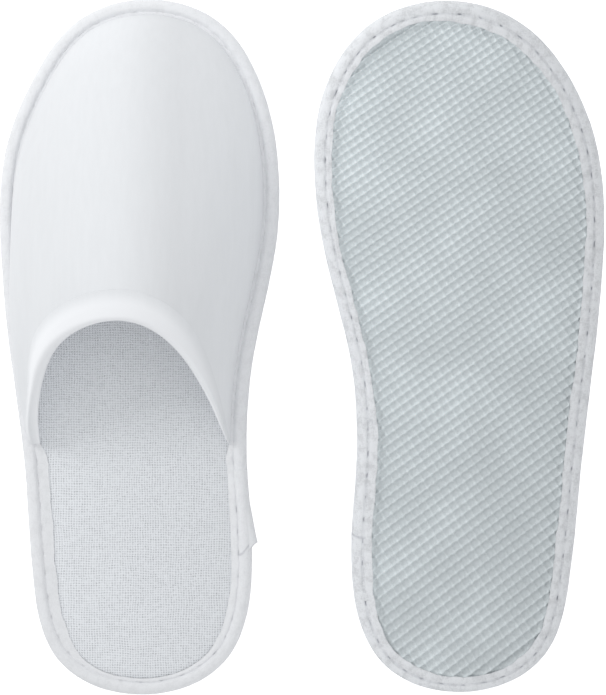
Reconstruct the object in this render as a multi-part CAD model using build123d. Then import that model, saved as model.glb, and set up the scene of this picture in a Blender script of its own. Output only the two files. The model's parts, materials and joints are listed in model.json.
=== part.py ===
from build123d import *
import math
import os

# A pair of closed-toe spa slippers in one frame: one stands upright on its sole, the other lies
# upturned beside it, resting on the end of its heel and on the crown of its vamp.
# Millimetres. The origin is in the middle of the upright slipper's tread, on the floor, +Y points
# to the toes, +X to the other slipper and +Z is up.
# Each slipper is drawn in its own frame (u across, v along to the toe, w up from the outsole's
# lowest face). That is the upright slipper's place as well; the upturned one is then moved.

# ---- sole outline: half widths at stations along v, and the two tips ----
STATIONS = (134, 112, 80, 40, 0, -45, -95, -128)
UPRIGHT_OUTLINE = {
    "right": (32.6, 48.6, 56.8, 56.0, 47.7, 44.3, 46.3, 36.2),
    "left": (24.4, 41.7, 54.1, 55.9, 52.4, 46.4, 42.6, 32.6),
    "toe": (5.8, 142.6),
    "heel": (3.0, -142.4),
}
UPTURNED_OUTLINE = {
    "right": (32.0, 50.0, 56.1, 52.1, 43.8, 42.9, 45.4, 34.0),
    "left": (20.6, 41.4, 53.4, 55.2, 51.7, 46.6, 41.5, 30.2),
    "toe": (8.8, 141.1),
    "heel": (4.5, -141.3),
}
OUTLINE_SAMPLES = 72

# ---- sole stack, heights above the outsole's lowest face ----
OUTSOLE_TOP = 4.0
OUTSOLE_MARGIN_LIFT = 1.2
MIDSOLE_TOP = 7.0
INSOLE_TOP = 8.0
LAYER_GAP = 0.05

# ---- edge tape folded round the stack ----
TAPE_THICK = 0.6
TAPE_BOTTOM = 0.5
TAPE_TOP = 9.3
TAPE_INSET_TOP = 5.4
TAPE_INSET_UNDER = 8.2
TAPE_CLEARANCE = 0.1

# ---- lockstitch through tape and sole ----
STITCH_PITCH = 9.3
STITCH_LENGTH = 5.0
STITCH_WIDTH = 0.8
STITCH_HEIGHT = 0.35
STITCH_INSET = 4.1

# ---- where the sole flexes ----
FLEX_V = -55.0
FLEX_GAP = 0.2

# ---- vamp: ribs rising from the tape's inner edge to the foot opening ----
VAMP_BASE_INSET = 6.2
VAMP_BASE = INSOLE_TOP + 2 * LAYER_GAP
VAMP_CROWN = 50.5
VAMP_LEAN = 4.1
COLLAR_CENTRE_U = -1.5
COLLAR_END_V = -40.0
COLLAR_HALF_WIDTH = 38.6
COLLAR_DEPTH = 50.6
COLLAR_END_HEIGHT = 14.0
COLLAR_SIDE_LEAN = 1.6
RIB_POWER = 2.3
RIB_END_SWEEP = 0.5
SHELL_THICK = 1.2
MARGIN_THICK = 0.5
MARGIN_INSET = 1.0
FOAM_THICK = 3.0
LINING_THICK = 0.8
BAND_THICK = 5.6
BAND_WIDTH = 12.5
BAND_GAP = 0.8
RIBS = 25
RIB_POINTS = 9

# ---- place of the upturned slipper ----
UPTURNED_X = 131.4
UPTURNED_Y = -5.5
UPTURNED_TILT = 15.0
UPTURNED_YAW = 1.8
FLOOR_CLEARANCE = 0.3


def closed_curve(points):
    """A smooth closed curve through plan points."""
    return Spline(*[(u, v) for u, v in points], periodic=True)


def sole_edge(shape):
    """The widest outline of a sole, as a closed curve."""
    right = [(u, v) for u, v in zip(shape["right"], STATIONS)]
    left = [(-u, v) for u, v in zip(shape["left"], STATIONS)]
    return closed_curve([shape["toe"], *right, shape["heel"], *reversed(left)])


def inset_points(shape, inset, count=OUTLINE_SAMPLES):
    """Points of the outline moved inward by the inset, each with the outline's direction there."""
    edge = sole_edge(shape)
    placed = []
    for n in range(count):
        at = edge.position_at(n / count)
        along = edge.tangent_at(n / count)
        placed.append((at.X + along.Y * inset, at.Y - along.X * inset, along))
    return placed


def sole_face(shape, inset):
    """The flat face inside the inset outline."""
    points = [(u, v) for u, v, _ in inset_points(shape, inset)]
    return make_face(closed_curve(points))


def slab(shape, inset, bottom, top):
    """A sheet of the sole between two heights."""
    return extrude(Pos(0, 0, bottom) * sole_face(shape, inset), top - bottom)


def ring(shape, outer, inner, bottom, top):
    """A sheet of the sole with its middle left out."""
    return slab(shape, outer, bottom, top) - slab(shape, inner, bottom - 1, top + 1)


def split_at_flex(body):
    """The parts of a sheet in front of and behind the flex line, with a hair's gap between."""
    front = split(body, bisect_by=Plane((0, FLEX_V + FLEX_GAP / 2, 0), z_dir=(0, 1, 0)))
    rear = split(body, bisect_by=Plane((0, FLEX_V - FLEX_GAP / 2, 0), z_dir=(0, -1, 0)))
    return front, rear


def outsole(shape):
    """A foam sheet whose margin is pulled up by the tape that wraps it."""
    clear = TAPE_THICK + TAPE_CLEARANCE
    whole = slab(shape, clear, OUTSOLE_MARGIN_LIFT, OUTSOLE_TOP)
    return whole + slab(shape, TAPE_INSET_UNDER + TAPE_CLEARANCE, 0, OUTSOLE_TOP)


def midsole(shape):
    """The sponge sheet on the outsole."""
    clear = TAPE_THICK + TAPE_CLEARANCE
    return slab(shape, clear, OUTSOLE_TOP + LAYER_GAP, MIDSOLE_TOP)


def insole(shape):
    """The fabric sheet that the foot stands on."""
    clear = TAPE_THICK + TAPE_CLEARANCE
    return slab(shape, clear, MIDSOLE_TOP + LAYER_GAP, INSOLE_TOP)


def edge_tape(shape):
    """The tape folded round the edge: a wall with a flap above and a flap below."""
    under = ring(shape, 0, TAPE_INSET_UNDER, TAPE_BOTTOM, TAPE_BOTTOM + TAPE_THICK)
    wall = ring(shape, 0, TAPE_THICK, TAPE_BOTTOM, TAPE_TOP)
    over = ring(shape, 0, TAPE_INSET_TOP, TAPE_TOP - TAPE_THICK, TAPE_TOP)
    return under + wall + over


def stitches(shape, bottom):
    """A row of short flat stitches that follows the edge, each a separate solid."""
    around = sole_edge(shape).length
    count = round(around / STITCH_PITCH)
    front = []
    rear = []
    for u, v, along in inset_points(shape, STITCH_INSET, count):
        if abs(v - FLEX_V) < STITCH_LENGTH:
            continue
        turn = math.degrees(math.atan2(along.Y, along.X))
        flat = Pos(u, v, bottom) * Rot(0, 0, turn) * SlotOverall(STITCH_LENGTH, STITCH_WIDTH)
        side = front if v > FLEX_V else rear
        side.append(extrude(flat, STITCH_HEIGHT))
    return Compound(children=front), Compound(children=rear)


# ---- vamp ----
def base_point(outline, angle):
    """Where a ray from the middle of the foot opening meets the line that the vamp rises from."""
    run = (math.cos(angle), math.sin(angle))
    for start, end in zip(outline, outline[1:] + outline[:1]):
        side = (end[0] - start[0], end[1] - start[1])
        gap = (start[0] - COLLAR_CENTRE_U, start[1] - COLLAR_END_V)
        cross = run[0] * side[1] - run[1] * side[0]
        if abs(cross) < 1e-9:
            continue
        reach = (gap[0] * side[1] - gap[1] * side[0]) / cross
        share = (gap[0] * run[1] - gap[1] * run[0]) / cross
        if reach > 0 and 0 <= share < 1:
            return COLLAR_CENTRE_U + reach * run[0], COLLAR_END_V + reach * run[1]
    raise ValueError("no base point at this angle")


def rib_share(sweep, rise):
    """How far in and how far up a rib has come: an arc of a superellipse, upright at the sole."""
    power = 2 / RIB_POWER
    inward = (1 - math.cos(sweep * rise) ** power) / (1 - math.cos(sweep) ** power)
    upward = (math.sin(sweep * rise) / math.sin(sweep)) ** power
    return inward, upward


def rib_point(outline, turn, rise):
    """A point of the vamp's outer face: turn runs from right to left, rise from sole to opening."""
    angle = math.pi * turn
    base_u, base_v = base_point(outline, angle)
    edge_u = COLLAR_CENTRE_U + COLLAR_HALF_WIDTH * math.cos(angle)
    edge_u -= COLLAR_SIDE_LEAN * math.sin(2 * angle) ** 2
    edge_v = COLLAR_END_V + COLLAR_DEPTH * math.sin(angle)
    edge_w = COLLAR_END_HEIGHT + (VAMP_CROWN - COLLAR_END_HEIGHT) * math.sin(angle)
    sweep = math.pi / 2 * (RIB_END_SWEEP + (1 - RIB_END_SWEEP) * math.sin(angle))
    inward, upward = rib_share(sweep, rise)
    u = base_u + (edge_u - base_u) * inward
    v = base_v + (edge_v - base_v) * inward
    w = VAMP_BASE + (edge_w - VAMP_BASE) * upward
    lean = VAMP_LEAN * (w - VAMP_BASE) / (VAMP_CROWN - VAMP_BASE)
    return Vector(u - lean, v, w)


def vamp_point(outline, turn, rise, depth):
    """A point at a depth under the vamp's outer face."""
    step = 0.01
    leftward = rib_point(outline, min(turn + step, 1), rise)
    across = leftward - rib_point(outline, max(turn - step, 0), rise)
    higher = rib_point(outline, turn, min(rise + step, 1))
    up = higher - rib_point(outline, turn, max(rise - step, 0))
    outward = across.cross(up).normalized()
    inside = rib_point(outline, turn, rise) - outward * depth
    return Vector(inside.X, inside.Y, max(inside.Z, VAMP_BASE))


def band_start(outline, turn, gap=0.0):
    """The rise at which the collar band begins; the band narrows to the ends of the opening."""
    width = BAND_WIDTH * (0.35 + 0.65 * math.sin(math.pi * turn)) + gap
    top = rib_point(outline, turn, 1)
    low, high = 0.0, 1.0
    while high - low > 1e-4:
        middle = (low + high) / 2
        if (rib_point(outline, turn, middle) - top).length > width:
            low = middle
        else:
            high = middle
    return high


def vamp_sheet(outline, near, far, whole_depths):
    """A curved sheet: near and far give its first and last rise at each rib."""
    faces = []
    for depth in whole_depths:
        rows = []
        for rib in range(RIBS):
            turn = rib / (RIBS - 1)
            first, last = near(turn), far(turn)
            rises = [first + (last - first) * n / (RIB_POINTS - 1) for n in range(RIB_POINTS)]
            rows.append([vamp_point(outline, turn, rise, depth) for rise in rises])
        faces.append(Face.make_surface_from_array_of_points(rows))
    outer, inner = faces
    sides = [Face.make_surface_from_curves(a, b) for a, b in zip(outer.edges(), inner.edges())]
    return Solid(Shell([outer, inner, *sides]))


def sewn_margin(shape):
    """The shell's flat margin, which lies on the insole under the tape."""
    inner = VAMP_BASE_INSET + SHELL_THICK / 2
    flat = ring(shape, MARGIN_INSET, inner, VAMP_BASE, VAMP_BASE + MARGIN_THICK)
    return split(flat, bisect_by=Plane((0, COLLAR_END_V, 0), z_dir=(0, 1, 0)))


def vamp(shape):
    """The upper's shell, foam, lining and collar band."""
    outline = [(u, v) for u, v, _ in inset_points(shape, VAMP_BASE_INSET)]

    def base(turn):
        return 0.0

    def below_band(turn):
        return band_start(outline, turn, BAND_GAP)

    def band(turn):
        return band_start(outline, turn)

    def opening(turn):
        return 1.0

    foam_depth = SHELL_THICK + LAYER_GAP
    lining_depth = foam_depth + FOAM_THICK + LAYER_GAP
    shell = vamp_sheet(outline, base, below_band, (0, SHELL_THICK)) + sewn_margin(shape)
    foam = vamp_sheet(outline, base, below_band, (foam_depth, foam_depth + FOAM_THICK))
    lining = vamp_sheet(outline, base, below_band, (lining_depth, lining_depth + LINING_THICK))
    collar = vamp_sheet(outline, band, opening, (0, BAND_THICK))
    return shell, foam, lining, collar


def slipper(shape):
    """Every piece of one slipper in its own frame, by name."""
    outline_sheets = {
        "outsole": outsole(shape),
        "midsole": midsole(shape),
        "insole": insole(shape),
        "edge_tape": edge_tape(shape),
    }
    pieces = {}
    for name, sheet in outline_sheets.items():
        pieces[name + "_front"], pieces[name + "_rear"] = split_at_flex(sheet)
    top = stitches(shape, TAPE_TOP + LAYER_GAP)
    under = stitches(shape, TAPE_BOTTOM - LAYER_GAP - STITCH_HEIGHT)
    pieces["top_stitches_front"], pieces["top_stitches_rear"] = top
    pieces["under_stitches_front"], pieces["under_stitches_rear"] = under
    names = ("vamp_shell", "vamp_foam", "vamp_lining", "collar_band")
    pieces.update(zip(names, vamp(shape)))
    return pieces


def upturned_place():
    """Sole up, toe raised: the end of the heel and the crown of the vamp touch the floor."""
    tilt = math.radians(UPTURNED_TILT)
    heel_v = UPTURNED_OUTLINE["heel"][1]
    lift = -heel_v * math.sin(tilt) + TAPE_TOP * math.cos(tilt) + FLOOR_CLEARANCE
    turned = Rot(0, 0, UPTURNED_YAW) * Rot(UPTURNED_TILT, 0, 0) * Rot(0, 180, 0)
    return Pos(UPTURNED_X, UPTURNED_Y, lift) * turned


os.makedirs("parts", exist_ok=True)
pair = {
    "upright": (Pos(0, 0, 0), UPRIGHT_OUTLINE),
    "upturned": (upturned_place(), UPTURNED_OUTLINE),
}
for which, (place, shape) in pair.items():
    for name, piece in slipper(shape).items():
        export_step(place * piece, f"parts/{which}_{name}.step")
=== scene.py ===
import json

import bmesh
import bpy
import numpy as np
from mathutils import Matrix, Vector


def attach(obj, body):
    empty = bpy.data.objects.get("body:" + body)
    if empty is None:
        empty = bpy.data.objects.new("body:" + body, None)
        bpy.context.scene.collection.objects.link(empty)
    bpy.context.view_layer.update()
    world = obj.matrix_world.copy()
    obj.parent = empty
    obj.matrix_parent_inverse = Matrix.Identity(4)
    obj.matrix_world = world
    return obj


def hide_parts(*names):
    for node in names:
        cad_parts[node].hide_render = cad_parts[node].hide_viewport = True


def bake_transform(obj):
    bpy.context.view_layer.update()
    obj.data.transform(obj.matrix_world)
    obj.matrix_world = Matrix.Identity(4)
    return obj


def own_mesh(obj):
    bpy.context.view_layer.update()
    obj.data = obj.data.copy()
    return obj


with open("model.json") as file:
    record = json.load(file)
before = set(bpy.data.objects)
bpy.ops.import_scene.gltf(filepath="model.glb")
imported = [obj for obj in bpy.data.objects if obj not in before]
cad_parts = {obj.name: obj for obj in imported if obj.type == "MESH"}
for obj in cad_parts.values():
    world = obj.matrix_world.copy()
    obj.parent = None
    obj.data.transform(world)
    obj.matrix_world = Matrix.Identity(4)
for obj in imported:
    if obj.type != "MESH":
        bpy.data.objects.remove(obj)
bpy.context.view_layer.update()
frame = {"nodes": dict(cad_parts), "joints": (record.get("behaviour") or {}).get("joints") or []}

# The pair of slippers is drawn piece by piece in each slipper's own frame, in millimetres: u across,
# v along to the toe, w up from the outsole's lowest face. The frame's joints say where each slipper
# lies: its flex joint runs across the sole and its press joint runs down through it.
MM = 0.001
JOINTS = {joint["name"]: joint for joint in frame["joints"]}
NODES = frame["nodes"]

# ---- sole ----
STATIONS = (134, 112, 80, 40, 0, -45, -95, -128)
OUTLINE_POINTS = 1440
OUTSOLE_TOP = 4.0
MIDSOLE_TOP = 7.0
INSOLE_TOP = 8.0
SHEET_INSET = 0.7
INSOLE_PITCH = 1.5
MIDSOLE_PITCH = 4.0
SHEET_GAP = 0.05
FLEX_V = -55.0
BLEND_REACH = 13.0
SEEDS = {"upright": 10, "upturned": 50}

# ---- edge tape ----
TAPE_TOP = 9.3
TAPE_BOTTOM = 0.5
TAPE_THICK = 0.6
TAPE_FLAP_TOP = 6.6
TAPE_FLAP_UNDER = 7.7
TAPE_ROLL = 3.2
TAPE_STEP = 0.22
SEAM_SHOULDER = 0.3
SEAM_DROP = 0.95
FLAP_DROP = 0.36
UNDER_FLAP_DROP = 0.45
STITCH_PITCH = 9.3
STEPS_PER_STITCH = 16
TOP_SEAM = 4.7
UNDER_SEAM = 3.9
TOP_SEAM_SEED = 21
UNDER_SEAM_SEED = 22
TOP_THREAD_DROP = 1.15
UNDER_THREAD_RISE = 0.6
THREAD_DIP = 0.2
SLIT_HALF_LENGTH = 1.15
SLIT_HALF_WIDTH = 0.3
CREASES = {"upright": 0.05, "upturned": 0.12}
CREASE_SLANT = 1.3
STITCH_SHIFT = 0.4
STITCH_SLANT = 0.07
LAPS = {"upright": (-50.0, -80.4, 3.4, -4.2), "upturned": (-100.0, -72.0, 1.2, -0.6)}
LAP_THICK = 0.4
LAP_PART = slice(9, -8)
LAP_SHADE = 0.4
THREAD_RADIUS = 0.2
THREAD_HALF_LENGTH = 1.1
LOOP_V = -24.0
LOOP_INSET = 4.3
LOOP_LIFT = 1.0
LOOP_RADIUS = 0.28

# ---- vamp: near the design's sizes, but fuller, and swollen on its left ----
VAMP_BASE_INSET = 5.9
VAMP_BASE = 8.1
VAMP_CROWN = 50.5
VAMP_LEAN = 4.1
COLLAR_CENTRE_U = -1.5
COLLAR_END_V = -40.0
COLLAR_HALF_WIDTH = 38.6
COLLAR_DEPTH = 50.6
COLLAR_END_HEIGHT = 14.0
RIB_POWER = 1.6
RIB_END_SWEEP = 0.5
COLLAR_RIGHT_LEAN = 1.6
COLLAR_LEFT_LEAN = 2.8
SIDE_SWELL = 5.0
SHELL_THICK = 1.2
FOAM_THICK = 3.0
LINING_THICK = 0.8
BAND_WIDTH = 12.5
BAND_THICK = 5.6
BAND_END_THICK = 1.2
CLOTH_REACH = 0.7
CLOTH_FRAMES = 20
CLOTH_PRESSURE = 4.0
END_TAPER = 0.075
BLUNT_END = 0.8
BAND_PUFF = 0.7
VALLEY = 0.22

# ---- outsole: two crossing families of ridges, with shallow dishes between them ----
RIDGE_HEIGHT = 1.35
RIDGE_SHARES = (0.46, 0.28, 0.26)  # crossed, plain, first family
RIDGE_ANGLES = (34.9, -61.4)
RIDGE_PITCH = (3.28, 3.39)
PITCH_DRIFT = (-0.00078, -0.00052)
RIDGES_OUT = 62
CELL_STEPS = 6

# ---- stage, in metres ----
MIDDLE = Vector((0.068, 0, 0))
FLOOR_REACH = 3.0
FLOOR_DROP = 0.0002
FLOOR_GLOW = 0.1
FLOOR_GLOW_SEEN = 0.7
KEY_OFFSET = Vector((-0.572, 0.486, 0.496))
KEY_SIZE = 0.28
KEY_ENERGY = 1.72
SKY_COLOUR = (0.97, 0.985, 1.0, 1)
SKY_STRENGTH = 0.83
CAMERA_HEIGHT = 1.0
CAMERA_LENS = 125.05
CAMERA_SENSOR = 36


# ---- small tools ----
def smoothstep(x):
    x = np.clip(x, 0, 1)
    return x * x * (3 - 2 * x)


def wave_noise(x, seed, octaves, longest):
    """A smooth wandering value along a length, in about -1 to 1."""
    rng = np.random.default_rng(seed)
    total = np.zeros_like(x, dtype=float)
    for octave in range(octaves):
        length = longest / 1.9 ** octave
        total += np.sin(2 * np.pi * x / length + rng.uniform(0, 2 * np.pi)) / 1.5 ** octave
    return total / 2.2


def grid_faces(rows, cols, close_rows=False, close_cols=False):
    """Quads of a grid whose points are stored row by row."""
    r = np.arange(rows if close_rows else rows - 1)
    c = np.arange(cols if close_cols else cols - 1)
    r, c = (a.ravel() for a in np.meshgrid(r, c, indexing="ij"))
    below, right = (r + 1) % rows, (c + 1) % cols
    return np.stack([r * cols + c, r * cols + right, below * cols + right, below * cols + c], 1)


def unit(v):
    return v / np.maximum(np.linalg.norm(v, axis=-1, keepdims=True), 1e-12)


def loop_directions(loop):
    """At each point of a closed plan loop, the directions along it and into it."""
    along = unit(np.roll(loop, -1, 0) - np.roll(loop, 1, 0))
    return along, np.stack([along[:, 1], -along[:, 0]], 1)


def toned(shade, factor):
    return tuple(c * factor for c in shade)


def closed_spline(points, count):
    """Points of the smooth closed curve through the given plan points, evenly spaced."""
    p = np.asarray(points, float)
    n = len(p)
    h = np.linalg.norm(np.roll(p, -1, 0) - p, axis=1)
    before = np.roll(h, 1)
    slope = (np.roll(p, -1, 0) - p) / h[:, None]
    a = np.zeros((n, n))
    for i in range(n):
        a[i, i - 1] = before[i]
        a[i, i] = 2 * (before[i] + h[i])
        a[i, (i + 1) % n] = h[i]
    m = np.linalg.solve(a, 6 * (slope - np.roll(slope, 1, 0)))
    ends = np.roll(m, -1, 0)
    fine = np.linspace(0, 1, 60, endpoint=False)
    parts = []
    for i in range(n):
        t = (fine * h[i])[:, None]
        linear = slope[i] - h[i] * (2 * m[i] + ends[i]) / 6
        parts.append(p[i] + linear * t + m[i] / 2 * t ** 2 + (ends[i] - m[i]) / (6 * h[i]) * t ** 3)
    return resample(np.concatenate(parts), count)


def resample(loop, count):
    """A closed loop of points, evenly spaced along its length."""
    closed = np.vstack([loop, loop[:1]])
    run = np.r_[0, np.cumsum(np.linalg.norm(np.diff(closed, axis=0), axis=1))]
    at = np.linspace(0, run[-1], count, endpoint=False)
    return np.stack([np.interp(at, run, closed[:, k]) for k in range(closed.shape[1])], 1)


# ---- slipper frame and outline ----
class Slipper:
    """One slipper: its name, its place, and the outline of its sole."""

    def __init__(self, name):
        self.name = name
        self.seed = SEEDS[name]
        across = -unit(np.array(JOINTS[name + "_sole_flex"]["axis"], float))
        up = -unit(np.array(JOINTS[name + "_vamp_press"]["axis"], float))
        self.turn = np.stack([across, np.cross(up, across), up], 1)
        flex_local = np.array(JOINTS["upright_sole_flex"]["pos_m"]) / MM
        flex_here = np.array(JOINTS[name + "_sole_flex"]["pos_m"]) / MM
        self.origin = flex_here - self.turn @ flex_local
        self.outline = closed_spline(self.outline_knots(), OUTLINE_POINTS)
        self.inward = loop_directions(self.outline)[1]
        self.length = np.linalg.norm(np.roll(self.outline, -1, 0) - self.outline, axis=1).sum()

    def outline_knots(self):
        """Where the tape's outermost edge is at each station, read from the design."""
        points, edges = [], []
        for part in ("front", "rear"):
            mesh = NODES[f"{self.name}_edge_tape_{part}"].data
            local = (read_points(mesh) / MM - self.origin) @ self.turn
            pairs = np.empty(len(mesh.edges) * 2, int)
            mesh.edges.foreach_get("vertices", pairs)
            points.append(local)
            edges.append(local[pairs.reshape(-1, 2)])
        points = np.concatenate(points)
        edges = np.concatenate(edges)
        low, high = edges[:, 0, 1], edges[:, 1, 1]
        right, left = [], []
        for v in STATIONS:
            cross = edges[((low - v) * (high - v) <= 0) & (abs(high - low) > 1e-6)]
            share = (v - cross[:, 0, 1]) / (cross[:, 1, 1] - cross[:, 0, 1])
            u = cross[:, 0, 0] + (cross[:, 1, 0] - cross[:, 0, 0]) * share
            right.append((u.max(), v))
            left.append((u.min(), v))
        tips = []
        for sign in (1, -1):
            reach = (points[:, 1] * sign).max()
            tip = points[points[:, 1] * sign > reach - 0.02]
            tips.append((tip[:, 0].mean(), reach * sign))
        return [tips[0], *right, tips[1], *reversed(left)]

    def inset(self, depth):
        """The outline moved inward."""
        return self.outline + self.inward * depth

    def to_row(self, local):
        """Points of this slipper in the row frame, in metres."""
        return (np.asarray(local, float) @ self.turn.T + self.origin) * MM

    def edge_distance(self, plan):
        """How far each plan point lies inside the outline; negative outside."""
        coarse = self.outline[::4]
        inward = self.inward[::4]
        result = np.empty(len(plan))
        for first in range(0, len(plan), 4000):
            block = plan[first:first + 4000]
            gap = block[:, None] - coarse[None]
            nearest = (gap ** 2).sum(-1).argmin(1)
            rows = np.arange(len(block))
            result[first:first + 4000] = (gap[rows, nearest] * inward[nearest]).sum(-1)
        return result


def add_to_scene(name, data):
    thing = bpy.data.objects.new(name, data)
    bpy.context.scene.collection.objects.link(thing)
    return thing


def build(slipper, name, points, faces, material, slot, **marks):
    """A mesh object from points in the slipper's frame; marks are named values at its points."""
    full_name = f"{slipper.name}_{name}"
    mesh = bpy.data.meshes.new(full_name)
    mesh.from_pydata(slipper.to_row(points).tolist(), [], [list(f) for f in faces])
    piece = add_to_scene(full_name, mesh)
    mesh.materials.append(material)
    tidy_mesh(mesh)
    stored = mesh.attributes.new("local", "FLOAT_VECTOR", "POINT")
    stored.data.foreach_set("vector", np.asarray(points, np.float32).ravel())
    for mark, values in marks.items():
        drawn = mesh.attributes.new(mark, "FLOAT", "POINT")
        drawn.data.foreach_set("value", np.asarray(values, np.float32).ravel())
    return piece


def tidy_mesh(mesh):
    """Faces turned outward and shaded smooth."""
    work = bmesh.new()
    work.from_mesh(mesh)
    bmesh.ops.recalc_face_normals(work, faces=work.faces)
    for face in work.faces:
        face.smooth = True
    work.to_mesh(mesh)
    work.free()


def bend_with_sole(slipper, piece):
    """The piece's placement is baked into its points; where it would bend at the sole's flex is worked
    out but not used.
    """
    start = slipper.to_row([0, FLEX_V + BLEND_REACH, INSOLE_TOP])
    end = slipper.to_row([0, FLEX_V - BLEND_REACH, INSOLE_TOP])
    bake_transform(piece)


def press_with_vamp(slipper, piece):
    """The piece is attached to the slipper's forefoot body and given a mesh of its own; the anchor it
    would be pressed down to is worked out but not used.
    """
    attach(piece, slipper.name + "_forefoot")
    anchor = slipper.to_row([0, 0, VAMP_BASE])
    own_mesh(piece)


# ---- materials ----
class Look:
    """A node material under construction."""

    def __init__(self, name):
        self.material = bpy.data.materials.new(name)
        self.material.use_nodes = True
        self.tree = self.material.node_tree
        self.tree.nodes.clear()
        self.output = self.add("ShaderNodeOutputMaterial")
        self.shader = self.add("ShaderNodeBsdfPrincipled")
        self.link(self.shader, "BSDF", self.output, "Surface")

    def add(self, kind, **settings):
        node = self.tree.nodes.new(kind)
        for key, value in settings.items():
            setattr(node, key, value)
        return node

    def link(self, source, out, target, into):
        self.tree.links.new(source.outputs[out], target.inputs[into])

    def local(self, stretch=(1, 1, 1)):
        """The slipper's own coordinates in millimetres, stretched."""
        source = self.add("ShaderNodeAttribute", attribute_name="local")
        scale = self.add("ShaderNodeVectorMath", operation="MULTIPLY")
        scale.inputs[1].default_value = stretch
        self.link(source, "Vector", scale, 0)
        return scale

    def axes(self, source):
        """The three values of a vector, apart."""
        node = self.add("ShaderNodeSeparateXYZ")
        self.link(source, 0, node, 0)
        return node

    def noise(self, coordinates, scale, detail, roughness=0.55):
        node = self.add("ShaderNodeTexNoise")
        node.inputs["Scale"].default_value = scale
        node.inputs["Detail"].default_value = detail
        node.inputs["Roughness"].default_value = roughness
        self.link(coordinates, 0, node, "Vector")
        return node, "Fac"

    def math(self, operation, first, second=None):
        node = self.add("ShaderNodeMath", operation=operation)
        for index, value in enumerate((first, second)):
            if value is None:
                continue
            if isinstance(value, tuple):
                self.link(*value, node, index)
            else:
                node.inputs[index].default_value = value
        return node, "Value"

    def plus(self, first, second):
        return self.math("ADD", first, second)

    def times(self, first, second):
        return self.math("MULTIPLY", first, second)

    def mixed(self, first, share, second, other_share):
        """Two textures added by their shares."""
        return self.plus(self.times(first, share), self.times(second, other_share))

    def colour(self, factor, dark, light, low=0.3, high=0.7):
        ramp = self.add("ShaderNodeValToRGB")
        ramp.color_ramp.elements[0].position = low
        ramp.color_ramp.elements[1].position = high
        ramp.color_ramp.elements[0].color = (*dark, 1)
        ramp.color_ramp.elements[1].color = (*light, 1)
        self.link(*factor, ramp, "Fac")
        return ramp, "Color"

    def blend(self, base, other, attribute, how="MIX"):
        """The base colour, turned to another one where the mesh's attribute says so."""
        share = self.add("ShaderNodeAttribute", attribute_name=attribute)
        node = self.add("ShaderNodeMix", data_type="RGBA", blend_type=how)
        self.link(share, "Fac", node, 0)
        self.link(*base, node, 6)
        node.inputs[7].default_value = (*other, 1)
        return node, 2

    def painted_falloff(self, base, across, along):
        """The base colour with a painted light falloff: paler or greyer by a share per millimetre across
        and along the slipper.
        """
        place = self.axes(self.local())
        change = self.plus(self.times((place, "X"), across), self.times((place, "Y"), along))
        return self.scaled(base, self.plus(change, 1.0))

    def scaled(self, base, factor):
        """The base colour times a factor."""
        node = self.add("ShaderNodeVectorMath", operation="SCALE")
        self.link(*base, node, 0)
        self.link(*factor, node, "Scale")
        return node, 0

    def bump(self, height, distance, strength=1.0, under=None):
        node = self.add("ShaderNodeBump")
        node.inputs["Distance"].default_value = distance * MM
        node.inputs["Strength"].default_value = strength
        self.link(*height, node, "Height")
        if under:
            self.link(under, "Normal", node, "Normal")
        return node

    def set(self, **values):
        for key, value in values.items():
            self.shader.inputs[key.replace("_", " ")].default_value = value

    def finish(self, base, bump, **values):
        """The material with its colour and relief joined to the shader."""
        self.link(*base, self.shader, "Base Color")
        self.link(bump, "Normal", self.shader, "Normal")
        self.set(**values)
        return self.material


# Painted light and shade across the vamp: where across the slipper its colour is lightened or darkened,
# and to what share.
PAINTED_SHADE_STOPS = ((0.10, 0.97), (0.42, 1.045), (0.62, 0.965), (0.72, 0.975), (0.93, 1.08))
PAINTED_SHADE_SCALE = 1.1


def painted_shade_across(look, base):
    """Painted light and shade across the vamp: a ramp across the slipper lightens and darkens its colour.
    """
    place = look.axes(look.local())
    across = look.plus(look.times((place, "X"), 0.01), 0.5)
    ramp = look.add("ShaderNodeValToRGB")
    ramp.color_ramp.interpolation = "CARDINAL"
    stops = ramp.color_ramp.elements
    while len(stops) < len(PAINTED_SHADE_STOPS):
        stops.new(0.5)
    for stop, (position, value) in zip(stops, PAINTED_SHADE_STOPS):
        stop.position = position
        stop.color = (*[value / PAINTED_SHADE_SCALE] * 3, 1)
    look.link(*across, ramp, "Fac")
    return look.scaled(base, look.times((ramp, "Color"), PAINTED_SHADE_SCALE))


def velour(name, shade, highlight_colour=None):
    """Short napped pile: matt, with faint streaks along the slipper. With a highlight colour, the hem
    gets a painted highlight on its top and inside; without one, the vamp gets painted light and shade
    across the slipper.
    """
    look = Look(name)
    streaks = look.noise(look.local((0.5, 0.06, 0.3)), 1.0, 4)
    pile = look.noise(look.local((1, 0.8, 1)), 2.2, 2)
    base = look.colour(look.mixed(streaks, 0.7, pile, 0.3), toned(shade, 0.975), shade, 0.35, 0.65)
    # painted highlight on the hem, where the mesh's highlight share says so
    if highlight_colour:
        base = look.blend(base, highlight_colour, "pale")
    else:
        # painted light and shade across the vamp
        base = painted_shade_across(look, base)
    bump = look.bump(pile, 0.08, 0.4)
    return look.finish(base, bump, Roughness=0.95, Sheen_Weight=0.2, Sheen_Roughness=0.5,
                       Specular_IOR_Level=0.15)


# The grey of painted shade in the tape's slits and creases.
PAINTED_SHADE_GREY = (0.32, 0.33, 0.38)


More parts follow.
